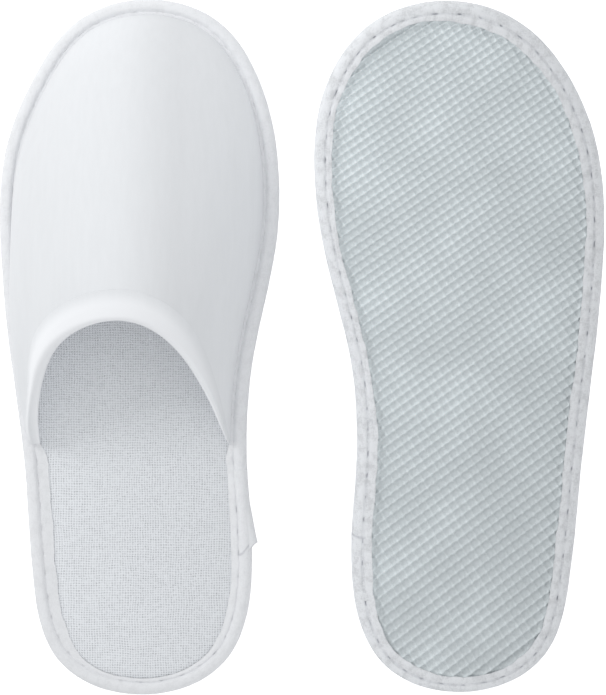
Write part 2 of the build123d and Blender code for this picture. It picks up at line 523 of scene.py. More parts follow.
def nonwoven(name, shade, mottled, falloff_shares):
    """Spunlaced tape: short fibres every way, pressed dimples, painted shade in the slits of the seams,
    in the crease beside the insole's seam and behind the lap, grey clouds beneath, and a painted light
    falloff.
    """
    look = Look(name)
    fibre = look.noise(look.local((1.6, 0.45, 1)), 1.5, 5, 0.7)
    cross = look.noise(look.local((0.45, 1.6, 1)), 1.5, 5, 0.7)
    creases = look.noise(look.local((0.30, 0.22, 0.3)), 1.0, 4, 0.65)
    fibres = look.times(look.plus(fibre, cross), 0.5)
    height = look.plus(fibres, look.times(creases, 0.9))
    base = look.colour(height, toned(shade, 1 - 0.18 * mottled), shade, 0.80, 1.0)
    # painted shade in the slits and creases, and grey clouds, then a painted light falloff
    shaded_colour = look.painted_falloff(look.blend(base, PAINTED_SHADE_GREY, "pinch", "MULTIPLY"), *falloff_shares)
    bump = look.bump(height, 0.2 + 0.5 * mottled, 0.8)
    return look.finish(shaded_colour, bump, Roughness=0.8, Sheen_Weight=0.1, Specular_IOR_Level=0.3)


THREAD_DRIFT = (2.2, 2.2, 0)


def weave(name, shade, pitch, painted_glow=0.0, falloff_shares=(0.0, 0.0)):
    """An open plain weave: crossing threads, with small dark holes that are deeper in some places; it may
    also emit a little light as painted light, and take a painted light falloff.
    """
    look = Look(name)
    warp = look.noise(look.local((0.06, 0.06, 0.06)), 1.0, 3)
    drift = look.add("ShaderNodeVectorMath", operation="MULTIPLY_ADD")
    look.link(warp[0], "Color", drift, 0)
    drift.inputs[1].default_value = THREAD_DRIFT
    look.link(look.local(), 0, drift, 2)
    split = look.axes(drift)
    turns = 2 * np.pi / pitch
    across = look.math("SINE", look.times((split, "X"), turns))
    along = look.math("SINE", look.times((split, "Y"), turns * 1.06))
    holes = look.times(look.plus(across, 1.0), look.plus(along, 1.0))
    lines = look.times(look.plus(across, along), 0.06)
    open_weave = look.plus(look.times(holes, 0.14), lines)
    uneven = look.noise(look.local((0.9, 1.1, 1)), 0.8, 3, 0.7)
    loose = look.math("SUBTRACT", look.times(uneven, 2.3), 0.45)
    bare = look.times(open_weave, loose)
    cloudy = look.noise(look.local((0.25, 0.3, 1)), 0.8, 3, 0.6)
    tone = look.plus(bare, look.times(cloudy, 0.12))
    base = look.painted_falloff(look.colour(tone, shade, toned(shade, 0.66), 0.04, 0.66), *falloff_shares)
    bump = look.bump(look.math("SUBTRACT", 1.0, tone), 0.45, 0.8)
    # any emission here is painted light
    return look.finish(base, bump, Roughness=0.9, Sheen_Weight=0.15, Specular_IOR_Level=0.2,
                       Emission_Color=(*shade, 1), Emission_Strength=painted_glow)


def foam(name, shade, roughness, gloss=0.35, relief=0.0, falloff_shares=(0.0, 0.0)):
    """Closed-cell foam: fine pores, a slight gloss on its moulded skin, a painted highlight on its ridges
    and painted shade in its dishes, ridges sharpened by a bump, and a painted light falloff.
    """
    look = Look(name)
    pores = look.noise(look.local(), 2.2, 5, 0.7)
    patches = look.noise(look.local((0.03, 0.03, 0.03)), 1.0, 2)
    raised = look.axes(look.local())
    # painted light and shade: the colour is lighter on the raised ridges and darker down in the dishes
    height = look.times((raised, "Z"), -0.34 * relief)
    mixed = look.plus(look.mixed(pores, 0.6, patches, 0.4), height)
    base = look.colour(mixed, toned(shade, 0.78), toned(shade, 1.30), 0.12, 0.60)
    ridges = look.bump(look.times((raised, "Z"), -1.0), 0.95 * relief)
    bump = look.bump(pores, 0.32, 0.8, ridges)
    return look.finish(look.painted_falloff(base, *falloff_shares), bump, Roughness=roughness, Specular_IOR_Level=gloss)


def thread_look(name, shade):
    """Spun thread."""
    look = Look(name)
    twist = look.noise(look.local((2, 2, 2)), 2.5, 2)
    base = look.colour(twist, toned(shade, 0.9), shade)
    bump = look.bump(twist, 0.1, 0.6)
    return look.finish(base, bump, Roughness=0.6, Sheen_Weight=0.1)


# The tapes, the insole and the outsole get a painted light falloff across and along each slipper.
LOOKS = {
    "vamp": velour("vamp_velour_look", (0.80, 0.81, 0.825)),
    # the collar's third colour is its painted highlight
    "collar": velour("collar_velour_look", (0.80, 0.81, 0.825), (0.90, 0.905, 0.92)),
    # the lining emits painted light, which lights the insole under the opening as if through the fabric
    "lining": weave("lining_look", (0.80, 0.81, 0.83), 1.0, painted_glow=0.2),
    "upright_tape": nonwoven("upright_edge_tape_look", (0.862, 0.867, 0.882), 0.35, (0.0003, 0.0002)),
    "upturned_tape": nonwoven("upturned_edge_tape_look", (0.853, 0.865, 0.884), 1.0, (0.0013, 0.0)),
    "insole": weave("insole_look", (0.83, 0.847, 0.872), 1.05, falloff_shares=(-0.0012, 0.0)),
    "outsole": foam("outsole_look", (0.85, 0.91, 0.928), 0.36, 0.8, relief=1.0, falloff_shares=(0.0015, 0.0007)),
    "sponge": foam("sponge_look", (0.80, 0.81, 0.81), 0.9),
    "thread": thread_look("thread_look", (0.80, 0.81, 0.83)),
}


# ---- sole sheets ----
def insole(slipper):
    """The fabric sheet under the foot: it dips under the tape and is slightly uneven from wear."""
    plan, edge, quads = sheet_grid(slipper, INSOLE_PITCH)
    dip = -0.12 * (1 - smoothstep((edge - 4.5) / 3.5))
    waves = 0.2 * np.sin(plan[:, 0] / 17 + 1.3) * np.sin(plan[:, 1] / 29 + 0.4)
    top = INSOLE_TOP + (dip + waves * smoothstep((edge - 6) / 10))
    points, faces = closed_plate(plan, top, MIDSOLE_TOP + SHEET_GAP, quads)
    return build(slipper, "insole", points, faces, LOOKS["insole"], "insole_fabric")


def midsole(slipper):
    """The sponge sheet between insole and outsole, thinner at its rim."""
    plan, edge, quads = sheet_grid(slipper, MIDSOLE_PITCH)
    top = MIDSOLE_TOP - 0.5 * (edge < 4)
    bottom = OUTSOLE_TOP + SHEET_GAP + 0.3 * (edge < 4)
    points, faces = closed_plate(plan, top, bottom, quads)
    return build(slipper, "midsole", points, faces, LOOKS["sponge"], "midsole_sponge")


def sheet_grid(slipper, pitch):
    """A grid of plan points inside the tape, its rim drawn onto the sheet's outline."""
    reach = np.abs(slipper.outline).max(0) + pitch
    us = np.arange(-reach[0], reach[0] + pitch, pitch)
    vs = np.arange(-reach[1], reach[1] + pitch, pitch)
    gu, gv = np.meshgrid(us, vs, indexing="ij")
    plan = np.stack([gu.ravel(), gv.ravel()], 1)
    edge = slipper.edge_distance(plan)
    quads = grid_faces(len(us), len(vs))
    keep = (edge[quads] > SHEET_INSET - 0.45 * pitch).all(1)
    plan, edge, quads = compact(plan, edge, quads[keep])
    loop = slipper.inset(SHEET_INSET)
    for i in np.unique(rim_of(quads)):
        plan[i] = loop[((loop - plan[i]) ** 2).sum(1).argmin()]
    return plan, edge, quads


def compact(plan, edge, quads):
    """Only the points that the faces use."""
    used = np.unique(quads)
    number = np.full(len(plan), -1)
    number[used] = np.arange(len(used))
    return plan[used], edge[used], number[quads]


def rim_of(quads):
    """The directed edges that belong to one face only."""
    sides = np.concatenate([quads[:, [k, (k + 1) % 4]] for k in range(4)])
    key = np.sort(sides, 1)
    _, first, counts = np.unique(key, axis=0, return_index=True, return_counts=True)
    return sides[first[counts == 1]]


def closed_plate(plan, face_w, back_w, quads):
    """A plate from the heights of its face and back: both of them and the wall between."""
    n = len(plan)
    points = np.concatenate([np.c_[plan, face_w], np.c_[plan, np.broadcast_to(back_w, n)]])
    rim = rim_of(quads)
    wall = np.stack([rim[:, 1], rim[:, 0], rim[:, 0] + n, rim[:, 1] + n], 1)
    faces = np.concatenate([quads, quads[:, ::-1] + n, wall])
    return points, faces


def plan_of_phase(phase):
    """The plan point at given ridge counts, by stepping the straight-line answer to its place."""
    normals = np.radians(RIDGE_ANGLES) + np.pi / 2
    steps = np.stack([-np.cos(normals), np.sin(normals)], 1) / np.reshape(RIDGE_PITCH, (2, 1))
    back = np.linalg.inv(steps).T
    plan = phase @ back
    for _ in range(12):
        counted = plan @ steps.T * (1 - np.array(PITCH_DRIFT) * plan[:, 1:])
        plan = plan + (phase - counted) @ back
    return plan


def outsole(slipper):
    """The embossed foam sheet: its points follow the ridges, so that each ridge is a clean line."""
    steps = np.arange(-RIDGES_OUT * CELL_STEPS, RIDGES_OUT * CELL_STEPS + 1) / CELL_STEPS
    first, second = np.meshgrid(steps, steps, indexing="ij")
    phase = np.stack([first.ravel(), second.ravel()], 1)
    plan = plan_of_phase(phase)
    near = (np.abs(plan) < np.abs(slipper.outline).max(0) + 1).all(1)
    edge = np.full(len(plan), -50.0)
    edge[near] = slipper.edge_distance(plan[near])
    quads = grid_faces(len(steps), len(steps))
    quads = quads[(edge[quads] > TAPE_FLAP_UNDER - 3.2).all(1)]
    phase = phase[np.unique(quads)]
    plan, edge, quads = compact(plan, edge, quads)
    dish = (2 * np.mod(phase, 1) - 1) ** 2
    crossed, plain, first_family = RIDGE_SHARES
    ridge = RIDGE_HEIGHT * (dish.min(1) * crossed + dish.max(1) * plain + dish[:, 0] * first_family)
    past_flap = edge - flap_reach(plan)
    pressed = 1 - smoothstep(past_flap / 1.5)
    rolled = 0.7 * (1 - smoothstep((past_flap + 2.4) / 1.2)) + 0.25 * pressed
    face_w = rolled + (RIDGE_HEIGHT - ridge) * (1 - 0.5 * pressed)
    points, faces = closed_plate(plan, face_w, OUTSOLE_TOP, quads)
    return build(slipper, "outsole", points, faces, LOOKS["outsole"], "outsole_foam")


# ---- edge tape ----
def stitch_count(slipper):
    return round(slipper.length / STITCH_PITCH)


def flap_reach(plan):
    """How far in the flap beneath comes: less along the inner side of the forefoot, more outside."""
    inner_side = smoothstep((plan[..., 0] + 10) / 30) * smoothstep((plan[..., 1] + 40) / 60)
    outer_side = smoothstep((10 - plan[..., 0]) / 30)
    return TAPE_FLAP_UNDER - 1.5 * inner_side - 0.4 * outer_side


def top_flap_reach(plan):
    """How much farther in the flap on the insole comes round the heel, more so on the outer side."""
    heel = smoothstep((-38 - plan[:, 1]) / 8) * smoothstep((plan[:, 1] + 141) / 22)
    return heel * (1.3 + 1.5 * smoothstep((10 - plan[:, 0]) / 40))


def beyond_seam(inset):
    """The share of the way from the seam on the insole to the flap's edge."""
    start = TOP_SEAM + SEAM_SHOULDER
    return np.clip((inset - start) / (TAPE_FLAP_TOP - start), 0, 1)


def tape_profile():
    """The tape's fold as (inset, height) points, from the flap on the insole to the flap beneath."""
    middle = (TAPE_TOP + TAPE_BOTTOM) / 2
    half = (TAPE_TOP - TAPE_BOTTOM) / 2
    angles = np.radians(np.linspace(90, 270, 25))
    power = 2 / 2.6
    inset = TAPE_ROLL + TAPE_ROLL * np.sign(np.cos(angles)) * np.abs(np.cos(angles)) ** power
    height = middle + half * np.sign(np.sin(angles)) * np.abs(np.sin(angles)) ** power
    flap = np.r_[TAPE_FLAP_TOP, np.arange(TAPE_FLAP_TOP - 0.03, TAPE_ROLL + 0.1, -TAPE_STEP)]
    slope = smoothstep((flap - TAPE_ROLL) / (TOP_SEAM + SEAM_SHOULDER - TAPE_ROLL))
    top = np.c_[flap, TAPE_TOP - SEAM_DROP * slope - FLAP_DROP * smoothstep(beyond_seam(flap))]
    flap = np.arange(TAPE_ROLL + 0.2, TAPE_FLAP_UNDER + 0.1, TAPE_STEP)
    under = np.c_[flap, TAPE_BOTTOM - UNDER_FLAP_DROP * smoothstep((flap - TAPE_ROLL) / 3.0)]
    return np.concatenate([top, np.c_[inset, height], under]), len(top), len(under)


def stitch_habits(slipper, row):
    """How each stitch of a seam differs: its shift, slant, size and pull, each from -1 to 1."""
    rng = np.random.default_rng(slipper.seed + row)
    return rng.uniform(-1, 1, (4, stitch_count(slipper)))


def seam_slits(slipper, s, inset, seam, row):
    """How deep in a stitch's slit each point of the tape lies, from 0 to 1."""
    count = stitch_count(slipper)
    pitch = slipper.length / count
    stitch = np.floor(s / pitch + 0.5).astype(int) % count
    shift, slant, size, pull = stitch_habits(slipper, row)[:, stitch]
    along = (np.mod(s / pitch + 0.5, 1) - 0.5) * pitch - STITCH_SHIFT * shift
    half = SLIT_HALF_LENGTH * (1 + 0.3 * size)
    length = np.clip(1 - np.abs(along / half) ** 4, 0, 1) * (0.75 + 0.25 * pull)
    off = inset[None] - (seam + STITCH_SLANT * slant * along)[:, None]
    return length[:, None] * np.exp(-(off / SLIT_HALF_WIDTH) ** 2)


def tape_shade_and_cloud(slipper, s, outline, d, on_top, below, slits):
    """Painted shade in the slits, in the crease beside the insole's seam and behind the lap's cut edge,
    and thin grey clouds underneath.
    """
    wander = 3 * wave_noise(s, 9, 4, 50)[:, None]
    patchy = wave_noise(s, slipper.seed + 6, 6, 24)[:, None] * np.cos(d * 1.9 + wander)
    zone = below * smoothstep((d - 2.2) / 0.7) * (1 - smoothstep((d - 4.2) / 0.8))
    cloud_and_shade = zone[None] * (0.13 + 0.12 * patchy)
    under_vamp = smoothstep((outline[:, 1] + 44) / 5) + 0.8 * smoothstep(-outline[:, 0] / 10)
    hidden = on_top[None] * np.minimum(under_vamp, 1)[:, None]
    line = TOP_SEAM + 0.3 * wave_noise(s, slipper.seed + 8, 5, 18)[:, None]
    # painted shade along the crease beside the insole's seam
    crease = on_top * 0.2 * np.exp(-((d[None] - line) / 0.35) ** 2) * (1 - hidden)
    cloud_and_shade = np.maximum(np.maximum(cloud_and_shade, crease), lap_shade(slipper, outline, d))
    return np.clip(np.maximum(slits * (1 - hidden) * np.where(on_top, 0.45, 1.0), cloud_and_shade), 0, 1)


def tape_shift(slipper, s, outline, d, on_top, below):
    """How much farther in each point of the tape lies: both flaps' edges wander, the roll hardly."""
    flap_top = on_top * smoothstep((d - TAPE_ROLL) / (TAPE_FLAP_TOP - TAPE_ROLL))
    flap_low = below * smoothstep((d - TAPE_ROLL) / (TAPE_FLAP_UNDER - TAPE_ROLL))
    top_edge = 0.2 * wave_noise(s, slipper.seed + 1, 4, 60)
    low_edge = 0.42 * wave_noise(s, slipper.seed + 2, 4, 55)
    low_edge = low_edge + 0.2 * wave_noise(s, slipper.seed + 5, 5, 12)
    low_edge = low_edge + flap_reach(outline) - TAPE_FLAP_UNDER
    roll = 0.08 * wave_noise(s, slipper.seed + 3, 6, 40)
    wider = top_flap_reach(outline) * (1 + 0.12 * wave_noise(s, slipper.seed + 5, 5, 22))
    shift = top_edge[:, None] * flap_top + low_edge[:, None] * flap_low
    shift = shift + roll[:, None] * (1 - flap_top - flap_low)
    return shift + wider[:, None] * (on_top * beyond_seam(d))


def tape_relief(slipper, s, d, on_top, below, slits):
    """How each point of the tape is moved in height: drawn in along both seams, and creased."""
    trough = np.exp(-((d - UNDER_SEAM) / 1.2) ** 2) * below
    crest = np.exp(-((d - TOP_SEAM) / 0.6) ** 2) * on_top
    gather = 0.16 * wave_noise(s, slipper.seed + 4, 5, 7)
    creases = np.stack([wave_noise(s + CREASE_SLANT * at, slipper.seed + 7, 5, 13) for at in d], 1)
    creases = CREASES[slipper.name] * creases * (on_top | below)
    drawn_in = 0.12 + 0.12 * on_top[None] + gather[:, None]
    return (0.5 * slits + drawn_in * (trough + crest) + creases) * np.where(below, 1, -1)


def edge_tape(slipper):
    """One tape folded round the whole edge, waved and drawn in at each stitch; its end laps its start."""
    profile, top_count, under_count = tape_profile()
    d = profile[:, 0]
    stations = stitch_count(slipper) * STEPS_PER_STITCH
    outline = resample(slipper.outline, stations)
    inward = loop_directions(outline)[1]
    s = np.arange(stations) / stations * slipper.length
    on_top = np.arange(len(profile)) < top_count
    below = np.arange(len(profile)) >= len(profile) - under_count
    slits = seam_slits(slipper, s, d, TOP_SEAM, TOP_SEAM_SEED) * on_top
    slits = slits + seam_slits(slipper, s, d, UNDER_SEAM, UNDER_SEAM_SEED) * below
    shift = tape_shift(slipper, s, outline, d, on_top, below)
    relief = tape_relief(slipper, s, d, on_top, below, slits)
    layers = []
    for inset, w in sheet_sides(profile, TAPE_THICK):
        plan = outline[:, None] + inward[:, None] * (inset[None] + shift)[..., None]
        layers.append(np.concatenate([plan, (w[None] + relief)[..., None]], 2))
    section = np.concatenate([layers[0], layers[1][:, ::-1]], 1)
    # painted shade in the slits and creases, with grey clouds beneath, for the tape's colour
    tone = tape_shade_and_cloud(slipper, s, outline, d, on_top, below, slits)
    rows, cols = section.shape[:2]
    faces = grid_faces(rows, cols, close_rows=True, close_cols=True).tolist()
    lap_points, lap_faces = tape_lap(slipper)
    points = np.concatenate([section.reshape(-1, 3), lap_points])
    faces += [[k + rows * cols for k in face] for face in lap_faces]
    pinch = np.concatenate([tone, tone[:, ::-1]], 1)
    pinch = np.concatenate([pinch.ravel(), np.zeros(len(lap_points))])
    look = LOOKS[slipper.name + "_tape"]
    return build(slipper, "edge_tape", points, faces, look, "edge_tape", pinch=pinch)


def sheet_sides(profile, thick):
    """The insets and heights of a folded sheet's outer and inner side."""
    tangent = unit(np.gradient(profile, axis=0))
    outside = np.stack([-tangent[:, 1], tangent[:, 0]], 1)
    return [(profile[:, 0] - outside[:, 0] * depth, profile[:, 1] - outside[:, 1] * depth)
            for depth in (0.0, thick)]


def lap_edge(slipper, inset):
    """Where along the slipper the lap's cut edge lies at each inset."""
    _, cut_v, _, slant = LAPS[slipper.name]
    return cut_v + slant * smoothstep((inset - 0.2) / 4.0)


def lap_shade(slipper, plan, inset):
    """Painted shade in the crease behind the lap's cut edge."""
    start, cut_v, _, _ = LAPS[slipper.name]
    gap = (lap_edge(slipper, inset)[None] - plan[:, 1:2]) * np.sign(start - cut_v)
    reach = LAP_SHADE * (1 - smoothstep((inset - 4.6) / 0.8))
    return reach[None] * np.exp(-((gap - 0.4) / 0.55) ** 2) * (plan[:, :1] > 0)


def tape_lap(slipper):
    """The tape's loose end: it comes out of the tape on the inner side, flares and is cut aslant."""
    profile = tape_profile()[0][LAP_PART]
    start, _, flare, _ = LAPS[slipper.name]
    side = (slipper.outline[:, 0] > 0) & (slipper.outline[:, 1] < 0)
    order = np.argsort(slipper.outline[side, 1])
    v_side = slipper.outline[side, 1][order]
    t = np.linspace(0, 1, 44)[:, None]
    v = start + (lap_edge(slipper, profile[:, 0])[None] - start) * t
    place, inward = [], []
    for k in range(2):
        place.append(np.interp(v, v_side, slipper.outline[side, k][order]))
        inward.append(np.interp(v, v_side, slipper.inward[side, k][order]))
    out = flare * t ** 2.2 * (1 - smoothstep(profile[:, 0] / 6.5))[None]
    lift = 0.5 * smoothstep(t / 0.5) - 0.2 + 0.5 * smoothstep((t - 0.6) / 0.4)
    layers = []
    for depth in (0.0, LAP_THICK):
        d, w = sheet_sides(profile, depth - lift)[1]
        plan = np.stack(place, -1) + np.stack(inward, -1) * (d - out)[..., None]
        layers.append(np.concatenate([plan, (w + 0 * v)[..., None]], 2))
    section = np.concatenate([layers[0], layers[1][:, ::-1]], 1)
    rows, cols = section.shape[:2]
    faces = grid_faces(rows, cols, close_cols=True).tolist()
    faces += end_cap(0, cols // 2) + end_cap((rows - 1) * cols, cols // 2)
    return section.reshape(-1, 3), faces


# ---- vamp ----
def base_curve(slipper, turns):
    """Where the vamp rises from, seen from the middle of the foot opening at each turn."""
    loop = slipper.inset(VAMP_BASE_INSET)
    gap = loop - (COLLAR_CENTRE_U, COLLAR_END_V)
    front = gap[:, 1] > -6
    angle = np.arctan2(gap[front, 1], gap[front, 0])
    reach = np.linalg.norm(gap[front], axis=1)
    order = np.argsort(angle)
    at = np.pi * turns
    r = np.interp(at, angle[order], reach[order])
    return np.stack([COLLAR_CENTRE_U + r * np.cos(at), COLLAR_END_V + r * np.sin(at)], 1)


def rib_points(slipper, turns, rises, swell=0.0):
    """The vamp's outer face: turns from right to left, and for each turn a row of rises."""
    angle = (np.pi * turns)[:, None]
    base = base_curve(slipper, turns)[:, None]
    edge_u = COLLAR_CENTRE_U + COLLAR_HALF_WIDTH * np.cos(angle)
    lean = np.where(angle < np.pi / 2, COLLAR_RIGHT_LEAN, COLLAR_LEFT_LEAN)
    edge_u = edge_u - lean * np.sin(2 * angle) ** 2
    edge_v = COLLAR_END_V + COLLAR_DEPTH * np.sin(angle)
    edge_w = COLLAR_END_HEIGHT + (VAMP_CROWN - COLLAR_END_HEIGHT) * np.sin(angle)
    sweep = np.pi / 2 * (RIB_END_SWEEP + (1 - RIB_END_SWEEP) * np.sin(angle))
    power = 2 / RIB_POWER
    inward = (1 - np.cos(sweep * rises) ** power) / (1 - np.cos(sweep) ** power)
    upward = (np.sin(sweep * rises) / np.sin(sweep)) ** power
    u = base[..., 0] + (edge_u - base[..., 0]) * inward
    v = base[..., 1] + (edge_v - base[..., 1]) * inward
    w = VAMP_BASE + (edge_w - VAMP_BASE) * upward
    u = u - VAMP_LEAN * (w - VAMP_BASE) / (VAMP_CROWN - VAMP_BASE)
    return np.stack([u - swell * side_swell(turns, rises), v, w], -1)


def side_swell(turns, rises):
    """The padded wall on the left sags out over the tape, most of all low down."""
    along = smoothstep((turns[:, None] - 0.59) / 0.14)
    end = smoothstep((turns[:, None] - 0.82) / 0.15)
    low = np.sin(np.pi / 2 * np.minimum(rises / 0.45, 1))
    return along * low * (1 - 0.9 * smoothstep((rises - 0.3) / 0.4) * (1 - end) - 0.5 * end * rises)


def rib_normals(slipper, turns, rises):
    """The outward direction of the vamp's face."""
    step = 0.004
    more, less = np.minimum(turns + step, 1), np.maximum(turns - step, 0)
    across = rib_points(slipper, more, rises) - rib_points(slipper, less, rises)
    higher = rib_points(slipper, turns, np.minimum(rises + step, 1))
    up = higher - rib_points(slipper, turns, np.maximum(rises - step, 0))
    return unit(np.cross(across, up))


def band_width(turns):
    return BAND_WIDTH * (0.35 + 0.65 * np.sin(np.pi * turns))


def padding(turns):
    """The share of its full thickness that the padded vamp has: it thins to both ends of the opening."""
    least = BAND_END_THICK / BAND_THICK
    return least + (1 - least) * smoothstep(np.minimum(turns, 1 - turns) / 0.3)


def band_start(slipper, turns, more=0.0):
    """The rise at which the collar band begins on each rib, or a little before or after."""
    width = band_width(turns) + more
    rises = np.tile(np.linspace(0, 1, 801), (len(turns), 1))
    points = rib_points(slipper, turns, rises)
    gap = np.linalg.norm(points - points[:, -1:], axis=-1)
    index = (gap > width[:, None]).sum(1)
    smooth = rises[0, np.minimum(index, 800)]
    kernel = np.hanning(7) / np.hanning(7).sum()
    return np.convolve(np.pad(smooth, 3, "edge"), kernel, "valid")


def closed_layer(slipper, name, outer, inner, material, slot, **marks):
    """A closed curved sheet from its outer and inner grids of points."""
    section = np.concatenate([outer, inner[:, ::-1]], 1)
    section[..., 2] = np.maximum(section[..., 2], VAMP_BASE)
    count, cols = section.shape[:2]
    faces = grid_faces(count, cols, close_cols=True).tolist()
    rows = cols // 2
    faces += end_cap(0, rows) + end_cap((count - 1) * cols, rows)
    return build(slipper, name, section.reshape(-1, 3), faces, material, slot, **marks)


def end_cap(first, rows):
    """Closes one end of a layer with a strip between its outer and inner row."""
    last = 2 * rows - 1
    return [[first + k, first + k + 1, first + last - k - 1, first + last - k] for k in range(rows - 1)]


def vamp_layer(slipper, name, depth, thick, look, slot, ribs, rows):
    """The foam or the lining: an even sheet at a depth behind the shell's face, up to the collar band."""
    turns = np.linspace(0, 1, ribs)
    rises = band_start(slipper, turns, 0.8)[:, None] * np.linspace(0, 1, rows)[None]
    face = rib_points(slipper, turns, rises)
    inward = -rib_normals(slipper, turns, rises) * padding(turns)[:, None, None]
    outer, inner = close_ends(slipper, turns, face + inward * depth, face + inward * (depth + thick))
    return closed_layer(slipper, name, outer, inner, LOOKS[look], slot)


def vamp_shell(slipper):
    """The velour skin. It swells over the tape on the left and dips where the band is sewn on."""
    turns = np.linspace(0, 1, 160)
    start = band_start(slipper, turns)
    last = band_start(slipper, turns, -1.5)
    share = 1 - (1 - np.linspace(0, 1, 64)) ** 1.4
    rises = last[:, None] * share[None]
    face = rib_points(slipper, turns, rises, SIDE_SWELL)
    normal = rib_normals(slipper, turns, rises)
    rib_length = band_width(turns) / np.maximum(1 - start, 1e-3)
    ahead = (start[:, None] - rises) * rib_length[:, None]
    dip = valley(turns) * np.exp(-(np.maximum(ahead, 0) / 3.4) ** 2) + 0.35 * smoothstep(-ahead / 1.0)
    outer = face - normal * dip[..., None]
    plain = rib_points(slipper, turns, rises)
    thick = (SHELL_THICK + 0.4 * smoothstep(1 - ahead / 2)) * padding(turns)[:, None]
    outer, inner = close_ends(slipper, turns, outer, plain - normal * thick[..., None])
    return closed_layer(slipper, "vamp_shell", outer, inner, LOOKS["vamp"], "vamp_velour")


def swell(piece, free):
    """Cloth under pressure, in which only the free points may move. Its effect was measured: it moves
    the collar band by less than 0.01 mm, so the padding seen is the shape that collar_band() gives."""
    mesh = piece.data
    start = read_points(mesh)
    held = piece.vertex_groups.new(name="held")
    held.add(np.flatnonzero(~free).tolist(), 1.0, "REPLACE")
    cloth = piece.modifiers.new("padding", "CLOTH")
    cloth.settings.quality = 4
    cloth.settings.mass = 0.2
    cloth.settings.use_pressure = True
    cloth.settings.uniform_pressure_force = CLOTH_PRESSURE
    cloth.settings.vertex_group_mass = held.name
    cloth.settings.effector_weights.gravity = 0
    cloth.collision_settings.use_collision = False
    cloth.point_cache.frame_start = 1
    cloth.point_cache.frame_end = CLOTH_FRAMES
    for number in range(1, CLOTH_FRAMES + 1):
        bpy.context.scene.frame_set(number)
    swollen = piece.evaluated_get(bpy.context.evaluated_depsgraph_get())
    move = read_points(swollen.data) - start
    distance = np.linalg.norm(move, axis=1, keepdims=True)
    move *= np.minimum(1, CLOTH_REACH * MM / np.maximum(distance, 1e-9))
    mesh.vertices.foreach_set("co", (start + move).ravel())
    mesh.update()
    piece.modifiers.remove(cloth)
    piece.vertex_groups.remove(held)
    bpy.context.scene.frame_set(1)


def read_points(mesh):
    co = np.empty(len(mesh.vertices) * 3)
    mesh.vertices.foreach_get("co", co)
    return co.reshape(-1, 3)


def valley(turns):
    """How deep the seam of the band lies: it fades to both ends."""
    return VALLEY * (0.15 + 0.85 * np.sin(np.pi * turns) ** 2)[:, None]


def collar_band(slipper):
    """A padded hem: it rises out of the valley, rolls over the edge of the opening and returns inside."""
    turns = np.linspace(0, 1, 200)
    start = band_start(slipper, turns)
    width = band_width(turns)
    share = np.r_[0, 0.012, np.sin(np.linspace(0, np.pi / 2, 20))[1:] ** 0.9]
    rises = start[:, None] + (1 - start)[:, None] * share[None]
    normal = rib_normals(slipper, turns, rises)
    fullness = padding(turns)[:, None]
    thick = BAND_THICK * fullness
    radius = np.minimum(thick / 2, width[:, None] * 0.6)
    beyond = np.clip((share[None] * width[:, None] - (width[:, None] - radius)) / radius, 0, 1)
    roll = radius * (1 - np.sqrt(1 - beyond ** 2))
    rise = smoothstep(share[None] * width[:, None] / 6.0)
    puff = (valley(turns) + BAND_PUFF * fullness) * rise - valley(turns)
    outer = rib_points(slipper, turns, rises, SIDE_SWELL) + normal * (puff - roll)[..., None]
    inner = rib_points(slipper, turns, rises) - normal * (thick - roll)[..., None]
    outer, inner = close_ends(slipper, turns, outer, inner)
    # painted highlight: lighter on the band's top, where the light falls most, and all over its inner
    # face
    pale = rise * smoothstep(np.sin(np.pi * turns) / 0.8)[:, None]
    pale = np.concatenate([pale, np.ones_like(pale)], 1)
    piece = closed_layer(slipper, "collar_band", outer, inner, LOOKS["collar"], "collar_velour",
                         pale=pale)
    outside = (share > 0.3) & (share < 0.95)
    free = (turns > END_TAPER)[:, None] & (turns < 1 - END_TAPER)[:, None] & outside[None]
    free = np.concatenate([free, np.zeros_like(free)], 1)
    swell(piece, free.ravel())
    return piece


def close_ends(slipper, turns, *layers):
    """The vamp closes in to a point on the tape at its right end and slopes down to it at its left."""
    end = np.minimum(np.minimum(turns, 1 - turns) / END_TAPER, 1)
    keep = np.sqrt(np.clip(1 - (1 - end) ** 2, 0.0025, 1))[:, None, None]
    tip = rib_points(slipper, turns, np.zeros((len(turns), 1)))
    tip[..., 2] = VAMP_BASE + 0.05
    blunt = np.where(turns > 0.5, BLUNT_END, 0.0)[:, None]
    closed = []
    for layer in layers:
        point = tip + 0 * layer
        point[..., :2] += blunt[..., None] * (layer - point)[..., :2]
        closed.append(point + (layer - point) * keep)
    return closed


def vamp(slipper):
    """Shell, foam and lining, and the band along the foot opening."""
    foam_depth = SHELL_THICK + SHEET_GAP
    lining_depth = foam_depth + FOAM_THICK + SHEET_GAP
    return {
        "vamp_shell": vamp_shell(slipper),
        "vamp_foam": vamp_layer(slipper, "vamp_foam", foam_depth, FOAM_THICK,
                                "sponge", "vamp_sponge", 64, 24),
        "vamp_lining": vamp_layer(slipper, "vamp_lining", lining_depth, LINING_THICK,
                                  "lining", "lining_fabric", 96, 32),
        "collar_band": collar_band(slipper),
    }


